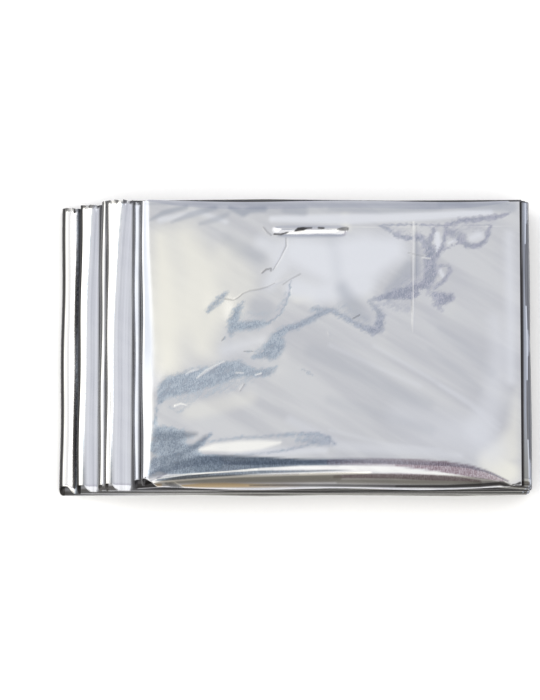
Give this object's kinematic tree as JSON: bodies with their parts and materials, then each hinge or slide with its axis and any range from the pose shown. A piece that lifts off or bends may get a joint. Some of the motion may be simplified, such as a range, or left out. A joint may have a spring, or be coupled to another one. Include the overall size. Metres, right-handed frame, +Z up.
{
  "type": "folded emergency blanket",
  "caption": "Emergency blanket of thin silver metallised film, folded into a flat packet with staggered folds at one end and a soft rolled front edge.",
  "frame": {"origin": "on the ground, under the middle of the packet", "axes": "+X along the panels, from the staggered folds to the free end of the top panel; +Y from the rolled front edge to the back; +Z up"},
  "size_m": [0.1304, 0.0818, 0.0161],
  "materials": {
    "silver_film": "bright metallised film, softly creased, with fine handling marks"
  },
  "bodies": {
    "root": {"blanket_film": "silver_film"}
  },
  "joints": []
}
